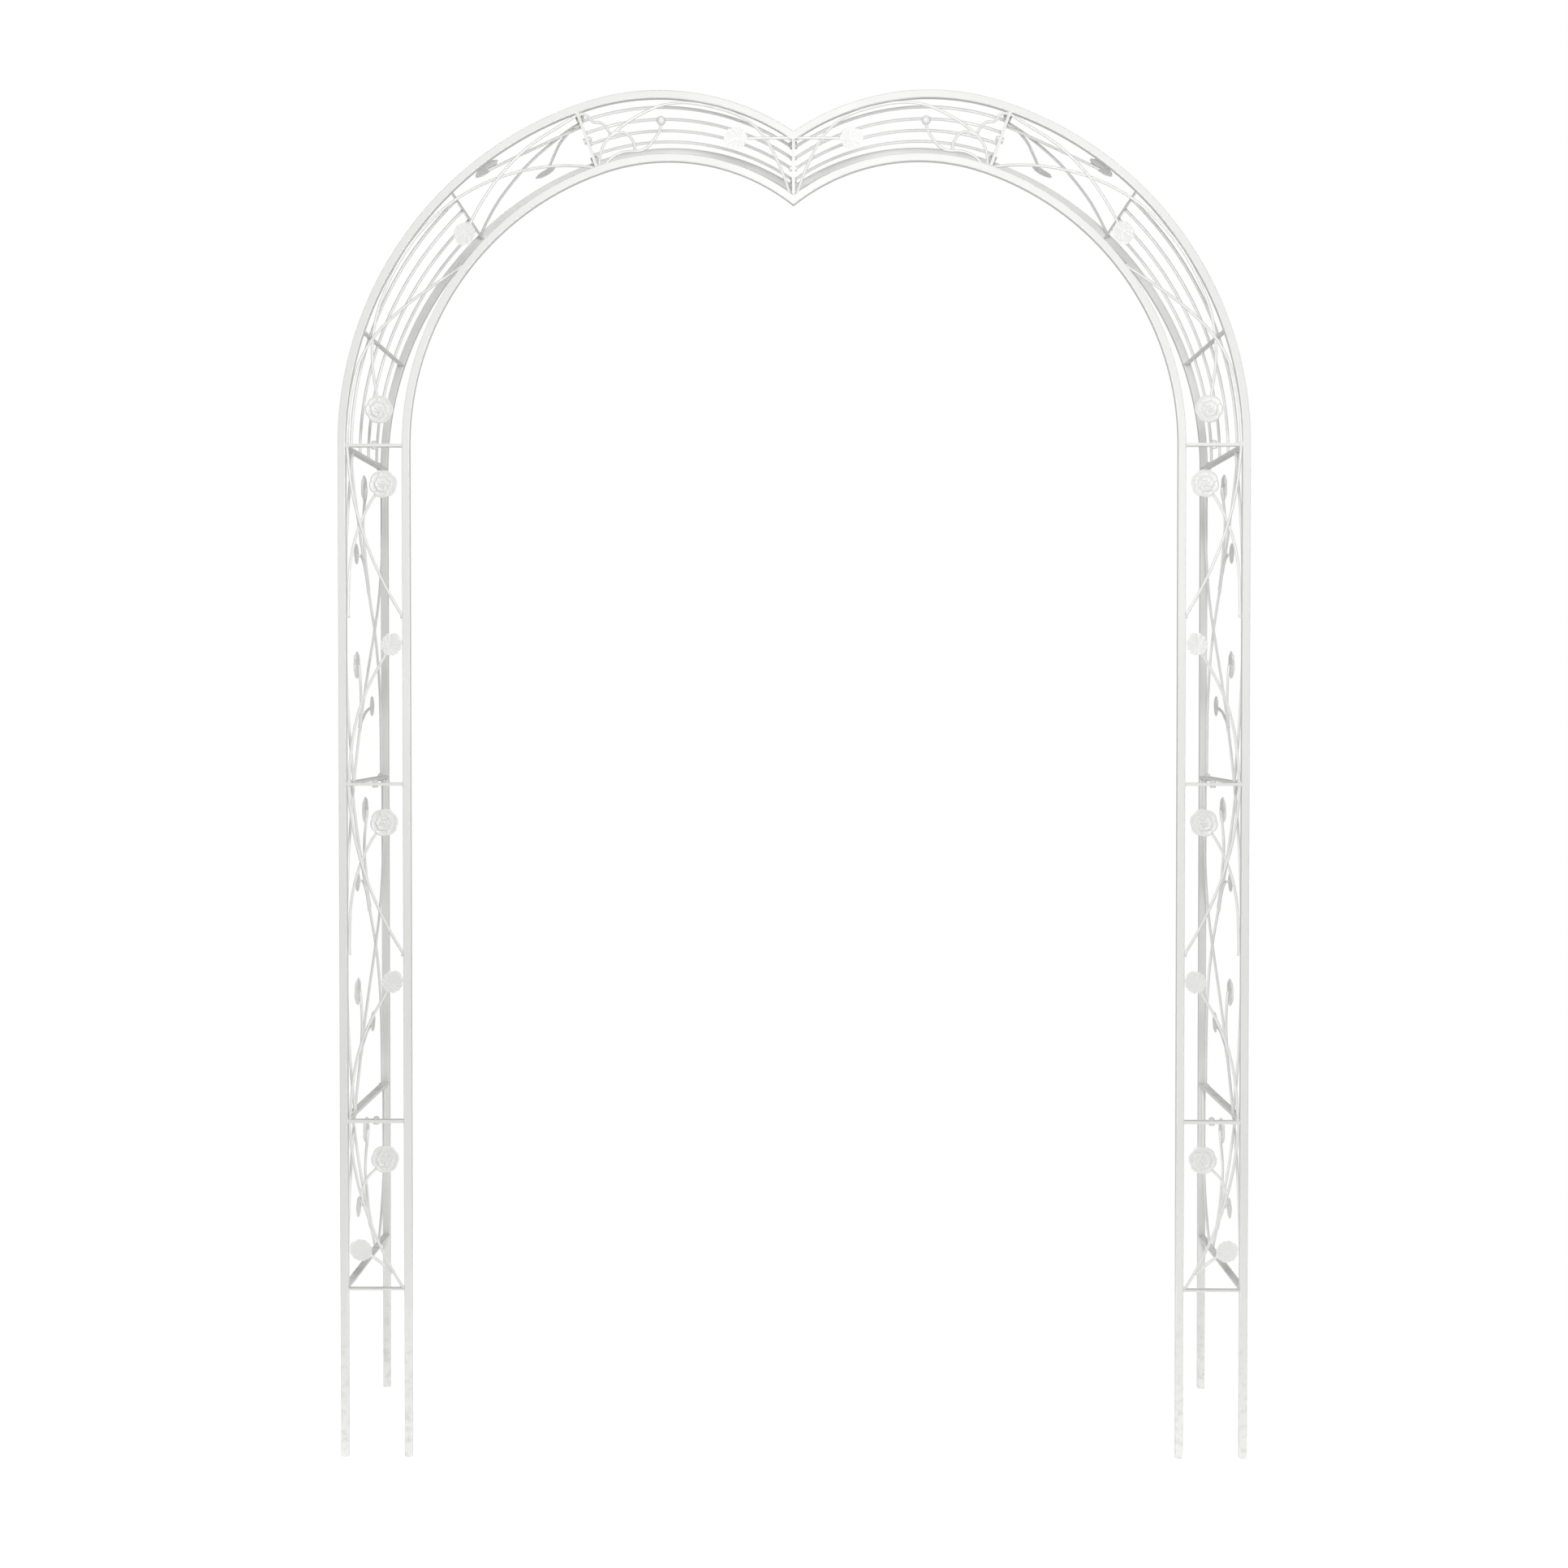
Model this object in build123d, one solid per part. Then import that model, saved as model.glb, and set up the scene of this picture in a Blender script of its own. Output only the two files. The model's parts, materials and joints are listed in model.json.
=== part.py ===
from build123d import *
import os
from math import atan2, cos, degrees, hypot, radians, sin, sqrt, tan

# Garden arch of white coated steel: two ladder-like posts and a four-centred roof.
# Each side is bolted up from five welded sections, and each section has three square
# tubes in an L: outer front, inner front and outer rear. Flat bars tie the tubes
# together, and bent rods with sheet-metal roses and leaves fill the two panels.
# Millimetres. X runs across the passage, Y from the front to the rear, Z is up.
# The origin is on the ground, in the middle of the arch.

# ---- driving dimensions ------------------------------------------------------------
OVERALL_WIDTH = 1500.0
TUBE = 12.7                # outside size of the square tube
TUBE_WALL = 1.0
TUBE_CORNER = 1.2          # outside corner radius of the tube
ROW_DEPTH = 360.0          # front tubes to rear tubes, centre to centre
LADDER_PITCH = 105.7       # outer front tube to inner front tube, centre to centre
UNIT = 279.0               # height of the ground spikes, and half a leg section
HAUNCH_RADIUS = 590.0      # outer edge of the outer tubes
CROWN_RADIUS = 397.0       # outer edge of the outer tubes
INNER_CROWN_RADIUS = 335.35  # centre line of the inner tubes
JOINT_ANGLE = 109.7        # direction of the joint between haunch and crown
BEND_ANGLE = 108.5         # direction where the tighter crown bend begins
STAY_ANGLES = (161.0, 134.0)  # directions of the two single bars in the haunch

FLANGE = 2.5               # thickness of the flat bar at the end of a section
STAY = 3.0                 # thickness of a flat bar that stands alone
ROD = 4.6                  # diameter of the bent scroll rods
LAYER = 2.35               # scroll rods that cross lie this far each side of the middle
TWIG_SHIFT = 0.2           # scallop rods lie this much nearer the middle than the big bow
EDGE_LAYER = -1.0          # layer of a stem that meets a side leaf edge to edge
STRAIGHT_ROD = 5.0         # diameter of the long side-by-side rods
ROD_ROWS = 4               # side-by-side rods across the depth
ROD_CLEARANCE = 0.4        # holes of the lower haunch bar, wider than its rods

BOLT = 5.0
BOLT_HOLE = 5.6
HEX = 8.0                  # across flats, bolt head and nut
HEAD_HEIGHT = 3.5
NUT_HEIGHT = 4.0
THREAD_END = 1.5           # bolt beyond the nut
NUT_CLEARANCE = 0.1        # bore of the nut, wider than the bolt
BOLT_INSET = 40.0          # side bolts from the tube faces

ROSE = 46.4
ROSE_DEPTH = 6.0
ROSE_PETALS = 6
ROSE_TIERS = ((1.0, 0.5, 90), (0.6, 0.8, 60))  # shares of width and depth; first petal
PETAL_SHARE = 0.24         # radius of a petal's round end, over its tier's width
BUTTON_SHARE = 0.18        # width of the middle button, over the rose's width
LEAF_LONG = 39.0           # along the stem
LEAF_WIDE = 35.5
LEAF_SHEET = 1.6
LEAF_NOTCHES = (42, 75, 101, 131, 155)  # degrees from the stem, on both sides
NOTCH_DEPTH = 0.06         # share of the leaf's radius
BUD = 15.0
SKIN = 0.1                 # ornaments stop this far inside the face of the tubes

# ---- worked-out places -------------------------------------------------------------
HALF_TUBE = TUBE / 2
OUTER_X = -(OVERALL_WIDTH / 2 - HALF_TUBE)
INNER_X = OUTER_X + LADDER_PITCH
FRONT_Y = -ROW_DEPTH / 2
REAR_Y = ROW_DEPTH / 2
FRONT_FACE = FRONT_Y - HALF_TUBE
CELL = 2 * UNIT
SPRING = 3 * CELL          # height where the legs end and the haunch begins
HAUNCH_CENTRE = (-(OVERALL_WIDTH / 2 - HAUNCH_RADIUS), SPRING)
HAUNCH_LINE = HAUNCH_RADIUS - HALF_TUBE
CROWN_LINE = CROWN_RADIUS - HALF_TUBE
INNER_HAUNCH_LINE = HAUNCH_LINE - LADDER_PITCH
EXTRA = 30.0               # overshoot of solids that are trimmed back
OVERRUN = 3.0              # overshoot of rods that end on the middle bars


def polar(centre, radius, angle):
    """Point (x, z) at an angle in degrees around a centre."""
    x = centre[0] + radius * cos(radians(angle))
    return (x, centre[1] + radius * sin(radians(angle)))


def crown_centre(haunch_line, crown_line):
    """Centre of the crown bend that runs on smoothly from the haunch bend."""
    return polar(HAUNCH_CENTRE, haunch_line - crown_line, BEND_ANGLE)


OUTER_CROWN = (crown_centre(HAUNCH_LINE, CROWN_LINE), CROWN_LINE)
INNER_CROWN = (crown_centre(INNER_HAUNCH_LINE, INNER_CROWN_RADIUS), INNER_CROWN_RADIUS)


def height_at_middle(bend):
    """Height of a crown centre line where left and right halves meet."""
    centre, radius = bend
    return centre[1] + sqrt(radius ** 2 - centre[0] ** 2)


def middle_angle(bend):
    """Direction from a crown bend's centre to where left and right halves meet."""
    centre = bend[0]
    return degrees(atan2(height_at_middle(bend) - centre[1], -centre[0]))


OUTER_PEAK = height_at_middle(OUTER_CROWN)
INNER_PEAK = height_at_middle(INNER_CROWN)


# ---- tubes -------------------------------------------------------------------------
def tube_section(hollow):
    """Square tube profile with round corners, or the plain square that bounds it."""
    if not hollow:
        return Rectangle(TUBE, TUBE)
    bore = TUBE - 2 * TUBE_WALL
    return RectangleRounded(TUBE, TUBE, TUBE_CORNER) - Rectangle(bore, bore)


def straight_tube(x, y, low, high, hollow=True):
    """Upright tube between two heights."""
    return extrude(Pos(x, y, low) * tube_section(hollow), high - low)


def bent(profile, bend, y, start, end):
    """Profile bent around an axis along Y, from one direction to another."""
    centre, radius = bend
    x, z = polar(centre, radius, end)
    tangent = (sin(radians(end)), 0, -cos(radians(end)))
    plane = Plane(origin=(x, y, z), x_dir=(0, 1, 0), z_dir=tangent)
    axis = Axis((centre[0], y, centre[1]), (0, -1, 0))
    return revolve(plane * profile, axis, start - end)


def left_half():
    """Block that holds everything left of the middle plane."""
    side = 2 * OVERALL_WIDTH
    return Pos(-side / 2, 0, side / 2) * Box(side, side, 2 * side)


def crown_tube(haunch_line, bend, y, hollow=True):
    """Crown tube: a last short stretch of haunch bend, then the tighter crown bend."""
    section = tube_section(hollow)
    lead = bent(section, (HAUNCH_CENTRE, haunch_line), y, JOINT_ANGLE, BEND_ANGLE)
    overshoot = degrees(EXTRA / bend[1])
    main = bent(section, bend, y, BEND_ANGLE, middle_angle(bend) - overshoot)
    return (lead + main) & left_half()


ROWS = {
    "outer_front": (OUTER_X, FRONT_Y, HAUNCH_LINE, OUTER_CROWN),
    "inner_front": (INNER_X, FRONT_Y, INNER_HAUNCH_LINE, INNER_CROWN),
    "outer_rear": (OUTER_X, REAR_Y, HAUNCH_LINE, OUTER_CROWN),
}
LEGS = {"lower_leg": 0.0, "middle_leg": CELL, "upper_leg": 2 * CELL}
SECTIONS = (*LEGS, "haunch", "crown")


def left_tube(section, row, hollow=True):
    """One tube of one section, on the left side."""
    x, y, haunch_line, bend = ROWS[row]
    if section in LEGS:
        return straight_tube(x, y, LEGS[section], LEGS[section] + CELL, hollow)
    if section == "haunch":
        return bent(tube_section(hollow), (HAUNCH_CENTRE, haunch_line), y, 180, JOINT_ANGLE)
    return crown_tube(haunch_line, bend, y, hollow)


# ---- stations: places where flat bars cross the frame ------------------------------
class Station:
    """A cut across the frame: the outer tube's middle, the way in, the way along."""

    def __init__(self, point, inward, pitch=LADDER_PITCH):
        self.point = point
        self.inward = inward
        self.along = (-inward[1], inward[0])
        self.pitch = pitch

    def plane(self, y, in_by=0.0, along_by=0.0):
        """Plane with X inward and Z along the tubes, at a depth and an offset."""
        x = self.point[0] + in_by * self.inward[0] + along_by * self.along[0]
        z = self.point[1] + in_by * self.inward[1] + along_by * self.along[1]
        x_dir = (self.inward[0], 0, self.inward[1])
        z_dir = (self.along[0], 0, self.along[1])
        return Plane(origin=(x, y, z), x_dir=x_dir, z_dir=z_dir)


def leg_station(height):
    return Station((OUTER_X, height), (1.0, 0.0))


def haunch_station(angle):
    point = polar(HAUNCH_CENTRE, HAUNCH_LINE, angle)
    return Station(point, (-cos(radians(angle)), -sin(radians(angle))))


LEG_JOINTS = [leg_station((index + 1) * CELL) for index in range(3)]
CROWN_JOINT = haunch_station(JOINT_ANGLE)
MIDDLE_JOINT = Station((0.0, OUTER_PEAK), (0.0, -1.0), OUTER_PEAK - INNER_PEAK)
GROUND_STAY = leg_station(UNIT)
HAUNCH_STAYS = [haunch_station(angle) for angle in STAY_ANGLES]

# Each bar: section, station, offset of its middle along the tubes, thickness, bolted.
BARS = [("lower_leg", GROUND_STAY, 0.0, STAY, False)]
for joint, below, above in zip([*LEG_JOINTS, CROWN_JOINT], SECTIONS, SECTIONS[1:]):
    BARS.append((below, joint, -FLANGE / 2, FLANGE, True))
    BARS.append((above, joint, FLANGE / 2, FLANGE, True))
BARS.append(("crown", MIDDLE_JOINT, -FLANGE / 2, FLANGE, True))


def side_bolt_depths():
    reach = REAR_Y - HALF_TUBE - BOLT_INSET
    return (-reach, reach)


def front_bar(station, offset, thickness, bolted):
    """Flat bar between the outer and inner front tubes."""
    plane = station.plane(FRONT_Y, station.pitch / 2, offset)
    bar = plane * Box(station.pitch - TUBE, TUBE, thickness)
    if station is MIDDLE_JOINT:
        bar = plane * Box(station.pitch, TUBE, thickness)
        bar -= left_tube("crown", "outer_front", hollow=False)
        bar -= left_tube("crown", "inner_front", hollow=False)
    if bolted:
        bar -= plane * Cylinder(BOLT_HOLE / 2, EXTRA)
    return biggest(bar)


def side_bar(station, offset, thickness, bolted):
    """Flat bar between the outer front and outer rear tubes."""
    bar = station.plane(0, 0, offset) * Box(TUBE, ROW_DEPTH - TUBE, thickness)
    if bolted:
        for depth in side_bolt_depths():
            bar -= station.plane(depth, 0, offset) * Cylinder(BOLT_HOLE / 2, EXTRA)
    return bar


# ---- scroll rods -------------------------------------------------------------------
def unit(angle):
    return (cos(radians(angle)), sin(radians(angle)))


def two_arcs(start, end):
    """Meeting point and headings of two tangent arcs between (u, v, heading) ends."""
    (u0, v0, h0), (u1, v1, h1) = start, end
    t0 = unit(h0)
    t1 = unit(h1)
    gap = (u1 - u0, v1 - v0)
    along = gap[0] * (t0[0] + t1[0]) + gap[1] * (t0[1] + t1[1])
    bend = 2 * (1 - t0[0] * t1[0] - t0[1] * t1[1])
    length = gap[0] ** 2 + gap[1] ** 2
    if bend < 1e-9:
        reach = length / (2 * along)
    else:
        reach = (sqrt(along ** 2 + bend * length) - along) / bend
    u = (u0 + u1 + reach * (t0[0] - t1[0])) / 2
    v = (v0 + v1 + reach * (t0[1] - t1[1])) / 2
    heading = 2 * degrees(atan2(v - v0, u - u0)) - h0
    return (u, v, heading)


def rod_path(stops, place):
    """Smooth path of tangent arcs through (u, v, heading) stops, set in space."""
    edges = []
    for start, end in zip(stops, stops[1:]):
        middle = two_arcs(start, end)
        for a, b in ((start, middle), (middle, end)):
            chord = degrees(atan2(b[1] - a[1], b[0] - a[0]))
            turn = (a[2] - chord + 180) % 360 - 180
            heading = unit(a[2])
            tip = (a[0] + heading[0], a[1] + heading[1])
            if hypot(b[0] - a[0], b[1] - a[1]) < 0.01:
                continue
            if abs(turn) < 0.05:
                edges.append(Line(place(a), place(b)))
                continue
            tangent = place(tip) - place(a)
            edges.append(TangentArc(place(a), place(b), tangent=tangent))
    return Wire(edges)


def rod_along(path, diameter=ROD):
    """Round rod swept along a path."""
    profile = Plane(origin=path @ 0, z_dir=path % 0) * Circle(diameter / 2)
    return sweep(profile, path=path)


def biggest(shape):
    return shape.solids().sort_by(SortBy.VOLUME)[-1]


def trim_chain(rods, obstacles=(), space=None):
    """Cut each rod back to the frame around it and to the rods before it."""
    done = []
    for rod in rods:
        if space is not None:
            rod = rod & space
        for other in (*obstacles, *done):
            rod = rod - other
        done.append(biggest(rod))
    return done


# Front panel of a leg. u: from the outer tube's inner face towards the passage,
# v: height in the cell. The first number after each name is the rod's layer.
HUG = ROD / 2 + 0.1        # a rod that lies against a tube
FRONT_GAP = LADDER_PITCH - TUBE
FRONT_ROSE = (61.2, 494.7)
FRONT_LEAF = (74.0, 231.0)
FOOT_LEAF = (20.0, 343.0)
LONG_STEM = [(HUG, CELL, -88), (FRONT_GAP + 2, 274, -57)]
ROSE_STEM = [(*FRONT_ROSE, -131), (13.5, 402, -105), (HUG, 276, -90)]
LEAF_STEM = [(72, 228, -120), (28, 145, -112), (HUG, 0, -92)]
FOOT_ROSE_STEM = [(*FRONT_ROSE, -131), (24, 448, -108), (20, 424, -98)]
FOOT_LEAF_STEM = [(22, 341, -20), (56, 319, -38), (72, 304, -41)]

# Side panel of a leg. u: from the face of the front tubes towards the rear.
SIDE_START = 80.0          # where the crossing rods begin, and the bowed rod
SIDE_END = 339.0
SIDE_ROSES = ((191.0, 506.0), (124.0, 199.0))
SIDE_LEAVES = ((121.0, 388.0), (249.0, 129.0))
CROSSING = [
    (SIDE_START, CELL, -64),
    (129.4, 468, -58.4),
    (231.2, 330, -50.3),
    (307, 220, -66),
    (SIDE_END, 0, -90),
]
BOW_TOUCH = TUBE + HUG
BOW_TURN = 2 * degrees(atan2(SIDE_START - BOW_TOUCH, UNIT))
BOW = [
    (SIDE_START, CELL, -90 - BOW_TURN),
    (BOW_TOUCH, UNIT, -90),
    (SIDE_START, 0, -90 + BOW_TURN),
]
UPPER_MERGE = CROSSING[2]  # where the upper stems run into a crossing rod
LOWER_MERGE = CROSSING[1]  # and the lower stems, on the other rod upside down


def beside(stop, gap):
    """Stop that runs alongside a rod; a positive gap is on the rod's left."""
    u, v, heading = stop
    way = unit(heading + 90)
    return (u + gap * way[0], v + gap * way[1], heading)


def upside_down(stops):
    """The same curve upside down within a leg cell, still running downwards."""
    return [(u, CELL - v, 180 - heading) for u, v, heading in reversed(stops)]


TOUCH = ROD + 0.05         # rods that run side by side
LOWER_RUN = upside_down([LOWER_MERGE])[0]
SIDE_ROSE_STEMS = (
    [(191, 506, -114), (172, 450, -92), (195, 391, -66), beside(UPPER_MERGE, TOUCH)],
    [(126, 199, -62), (140, 147, -86), beside(LOWER_RUN, -TOUCH)],
)
SIDE_LEAF_STEMS = (
    [(131, 387, 0), (166, 379, -28), beside(UPPER_MERGE, -TOUCH)],
    [(230.5, 125, 190), (181, 114, 202), beside(LOWER_RUN, TOUCH)],
)


def front_place(base, layer):
    """Puts cell coordinates (u, v) into the front panel of a leg."""
    face = OUTER_X + HALF_TUBE
    return lambda stop: Vector(face + stop[0], FRONT_Y + layer, base + stop[1])


def side_place(base, layer):
    """Puts cell coordinates (u, v) into the side panel of a leg."""
    return lambda stop: Vector(OUTER_X + layer, FRONT_FACE + stop[0], base + stop[1])


def leaning_place(base, stops, first, last):
    """The same for a stem that leans from one layer, at its ornament, to another."""
    top = stops[0][1]
    lean = (last - first) / (top - stops[-1][1])

    def place(stop):
        x = OUTER_X + first + lean * (top - stop[1])
        return Vector(x, FRONT_FACE + stop[0], base + stop[1])

    return place


def leg_space(base, floor, depth_low, depth_high, x_low, x_high):
    """Clear block between the bars of a leg cell."""
    low = base + floor
    high = base + CELL - FLANGE
    middle = ((x_low + x_high) / 2, (depth_low + depth_high) / 2, (low + high) / 2)
    return Pos(*middle) * Box(x_high - x_low, depth_high - depth_low, high - low)


def cell_floor(section):
    return UNIT + STAY / 2 if section == "lower_leg" else FLANGE


def leg_front_rods(section):
    base = LEGS[section]
    if section == "lower_leg":
        plans = [(LONG_STEM, -LAYER), (FOOT_ROSE_STEM, LAYER), (FOOT_LEAF_STEM, LAYER)]
    else:
        plans = [(LONG_STEM, -LAYER), (ROSE_STEM, LAYER), (LEAF_STEM, LAYER)]
    rods = [rod_along(rod_path(stops, front_place(base, layer))) for stops, layer in plans]
    x_low = OUTER_X + HALF_TUBE
    x_high = INNER_X - HALF_TUBE
    space = leg_space(base, cell_floor(section), FRONT_FACE, 0, x_low, x_high)
    return trim_chain(rods, space=space)


def leg_side_rods(section):
    base = LEGS[section]
    near = side_place(base, LAYER)
    plans = [(CROSSING, side_place(base, -LAYER)), (upside_down(CROSSING), near), (BOW, near)]
    for stems, first in ((SIDE_ROSE_STEMS, LAYER), (SIDE_LEAF_STEMS, EDGE_LAYER)):
        plans.append((stems[0], leaning_place(base, stems[0], LAYER, -LAYER)))
        if ornaments_in(section) > 1:
            plans.append((stems[1], leaning_place(base, stems[1], first, LAYER)))
    rods = [rod_along(rod_path(stops, place)) for stops, place in plans]
    face = REAR_Y - HALF_TUBE
    x_low = OUTER_X - HALF_TUBE
    space = leg_space(base, cell_floor(section), -face, face, x_low, INNER_X)
    return trim_chain(rods, space=space)


# ---- haunch and crown panels -------------------------------------------------------
# Front rods in frame coordinates (x, z, heading) of the left side.
HAUNCH_HUG = polar(HAUNCH_CENTRE, HAUNCH_RADIUS - TUBE - HUG, 146)
HAUNCH_ROSE = (-682.0, 1733.0)
HAUNCH_LEAF = (-540.0, 2020.0)
HAUNCH_ROSE_STEM = [
    (-316, 2128, 170),
    (-529, 2094, 208),
    (*HAUNCH_HUG, 236),
    (-694, 1826, 270),
    (*HAUNCH_ROSE, 281),
]
HAUNCH_BRACE = [(-544, 1968, 213), (-677, 1867, 226), (OUTER_X + HALF_TUBE + HUG, 1674, 270)]
HAUNCH_LEAF_STEM = [(-344, 2222, 214), (-455, 2145, 224), (-537, 2026, 245)]

CROWN_HUG_RADIUS = CROWN_RADIUS - TUBE - HUG
CROWN_HUG_START = (*polar(OUTER_CROWN[0], CROWN_HUG_RADIUS, 81), -9)
CROWN_HUG_END = (*polar(OUTER_CROWN[0], CROWN_HUG_RADIUS, 72.5), -17.5)
CROWN_BUD = (-217.5, 2206.0)
CROWN_LEAF = (-95.0, 2176.0)
BIG_BOW = [
    (-318, 2127, 98),
    (-299.5, 2183, 42),
    CROWN_HUG_START,
    CROWN_HUG_END,
    (-4.5, 2080, -75),
]
BUD_STEM = [
    (-312.8, 2129, 62),
    (-271, 2156, 3),
    (-250, 2157.5, 18),
    (-225, 2181, 56),
    (-217.5, 2201, 85),
]
UPPER_SCALLOPS = [
    (-354, 2215, 35),
    (-336.5, 2212, -50),
    (-328.5, 2204.2, -22),
    (-320, 2203.6, -8),
    (-307, 2194.5, -58),
    (-299, 2182.5, -50),
]
LOWER_SCALLOP = [
    (-299.5, 2182.6, 22),
    (-282.5, 2187.5, -5),
    (-266.5, 2177.5, -55),
    (-260.5, 2156, -88),
]
CROWN_LEAF_STEM = [(-88, 2176, 0), (OVERRUN, 2176.5, 0)]

# Side panel of the haunch. Each stop: direction around the bend, distance from the
# front face. The rods follow the bend of the tubes.
VINE = ((108.8, 84), (112.5, 108), (117.5, 151), (121, 182), (124.5, 222), (128, 262),
        (131, 307), (134, 357))
VINE_ROSE_STEM = ((108.8, 96), (113, 103), (117, 102), (120, 95), (123.5, 80), (127, 60))
VINE_LEAF_STEM = ((112.3, 104), (114.2, 138), (115.6, 180), (117, 224), (118.2, 262))
VINE_ROSE = (127.0, 58.0)
VINE_LEAF = (118.5, 272.0)


def around(angle, depth, radius):
    """Point on the bend of the haunch, at a distance from the front face."""
    x, z = polar(HAUNCH_CENTRE, radius, angle)
    return Vector(x, FRONT_FACE + depth, z)


ARC_SHARE = 0.45           # of a straight run that each of its end arcs may use


def soft_path(points):
    """Straight runs joined by nearly the largest tangent arcs that they allow."""
    radii = []
    for a, b, c in zip(points, points[1:], points[2:]):
        half_turn = radians((b - a).get_angle(c - b)) / 2
        radii.append(ARC_SHARE * min((b - a).length, (c - b).length) / tan(half_turn))
    return FilletPolyline(*points, radius=radii)


def frame_place(layer):
    """Puts frame coordinates (x, z) at the depth of the front tubes."""
    return lambda stop: Vector(stop[0], FRONT_Y + layer, stop[1])


def section_obstacles(section, bars):
    tubes = [left_tube(section, row, hollow=False) for row in ROWS]
    return [*tubes, *bars]


def haunch_front_rods(bars):
    plans = [
        (HAUNCH_ROSE_STEM, LAYER),
        (HAUNCH_BRACE, -LAYER),
        (HAUNCH_LEAF_STEM, -LAYER),
    ]
    rods = [rod_along(rod_path(stops, frame_place(layer))) for stops, layer in plans]
    return trim_chain(rods, section_obstacles("haunch", bars))


def crown_front_rods(bars):
    plans = [(BIG_BOW, LAYER), (BUD_STEM, LAYER)]
    plans += [(stops, LAYER - TWIG_SHIFT) for stops in (UPPER_SCALLOPS, LOWER_SCALLOP)]
    plans.append((CROWN_LEAF_STEM, -LAYER))
    rods = [rod_along(rod_path(stops, frame_place(layer))) for stops, layer in plans]
    return trim_chain(rods, [*section_obstacles("crown", bars), bud()])


def rod_depths():
    """Depths of the side-by-side rods, evenly spaced between front and rear tubes."""
    step = ROW_DEPTH / (ROD_ROWS + 1)
    return [FRONT_Y + step * (index + 1) for index in range(ROD_ROWS)]


def haunch_rod(y, diameter=STRAIGHT_ROD):
    """Side-by-side rod from the foot of the haunch to its upper single bar."""
    return bent(Circle(diameter / 2), (HAUNCH_CENTRE, HAUNCH_LINE), y, 180, STAY_ANGLES[1])


def haunch_side_rods(bars):
    """Side-by-side rods up to the upper stay, then three rods of the vine."""
    rods = [haunch_rod(y) for y in rod_depths()]
    for points, layer in ((VINE, LAYER), (VINE_ROSE_STEM, -LAYER), (VINE_LEAF_STEM, -LAYER)):
        stops = [around(angle, depth, HAUNCH_LINE + layer) for angle, depth in points]
        rods.append(rod_along(soft_path(stops)))
    return trim_chain(rods, section_obstacles("haunch", bars))


def crown_side_rods(bars):
    """Side-by-side rods from the haunch joint to the middle of the roof."""
    rods = []
    profile = Circle(STRAIGHT_ROD / 2)
    for y in rod_depths():
        lead = bent(profile, (HAUNCH_CENTRE, HAUNCH_LINE), y, JOINT_ANGLE, BEND_ANGLE)
        main = bent(profile, OUTER_CROWN, y, BEND_ANGLE, middle_angle(OUTER_CROWN))
        rods.append((lead + main) & left_half())
    return trim_chain(rods, bars)


# ---- ornaments and fasteners -------------------------------------------------------
def front_plane(x, z, y):
    return Plane(origin=(x, y, z), x_dir=(1, 0, 0), z_dir=(0, -1, 0))


def petal_ring(size, turn):
    """Flat outline of a ring of overlapping round petals."""
    lobe = size * PETAL_SHARE
    reach = size / 2 - lobe
    outline = Circle(size / 2 - lobe / 2)
    for index in range(ROSE_PETALS):
        way = unit(turn + index * 360 / ROSE_PETALS)
        outline += Pos(way[0] * reach, way[1] * reach) * Circle(lobe)
    return outline


def rose(plane):
    """Pressed rose: two tiers of petals and a small centre button."""
    blank = extrude(Circle(ROSE * BUTTON_SHARE / 2), ROSE_DEPTH)
    for width_share, depth_share, turn in ROSE_TIERS:
        blank += extrude(petal_ring(ROSE * width_share, turn), ROSE_DEPTH * depth_share)
    return plane * blank


def leaf(plane, turn):
    """Flat leaf with a scalloped edge, its stem side turned to a direction."""
    notches = [*LEAF_NOTCHES, *(360 - angle for angle in reversed(LEAF_NOTCHES))]
    points = []
    for here, there in zip(notches, [*notches[1:], notches[0] + 360]):
        for angle, share in ((here, 1 - NOTCH_DEPTH), ((here + there) / 2, 1)):
            way = unit(angle)
            points.append((share * LEAF_LONG / 2 * way[0], share * LEAF_WIDE / 2 * way[1]))
    points.append(points[0])
    arcs = [ThreePointArc(*points[i:i + 3]) for i in range(0, len(points) - 2, 2)]
    blank = extrude(make_face(Wire(arcs)), LEAF_SHEET)
    return plane * (Rot(0, 0, turn) * blank)


def front_roses():
    depth = FRONT_FACE + SKIN + ROSE_DEPTH
    face = OUTER_X + HALF_TUBE
    spots = [(face + FRONT_ROSE[0], base + FRONT_ROSE[1]) for base in LEGS.values()]
    return [rose(front_plane(x, z, depth)) for x, z in [*spots, HAUNCH_ROSE]]


def front_leaves():
    """Leaves of the left front panels, each on the face of its stem."""
    face = OUTER_X + HALF_TUBE
    on_back_stem = FRONT_Y + LAYER - HUG
    on_front_stem = FRONT_Y - LAYER - HUG
    spots = [(face + FOOT_LEAF[0], FOOT_LEAF[1], on_back_stem, FOOT_LEAF_STEM)]
    for section in ("middle_leg", "upper_leg"):
        place = (face + FRONT_LEAF[0], LEGS[section] + FRONT_LEAF[1])
        spots.append((*place, on_back_stem, LEAF_STEM))
    leaves = [leaf(front_plane(x, z, y), stem[0][2]) for x, z, y, stem in spots]
    haunch_turn = HAUNCH_LEAF_STEM[-1][2] - 180
    leaves.append(leaf(front_plane(*HAUNCH_LEAF, on_front_stem), haunch_turn))
    leaves.append(leaf(front_plane(*CROWN_LEAF, on_front_stem), CROWN_LEAF_STEM[0][2]))
    return leaves


def side_plane(depth, z, x):
    return Plane(origin=(x, FRONT_FACE + depth, z), x_dir=(0, 1, 0), z_dir=(-1, 0, 0))


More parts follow.
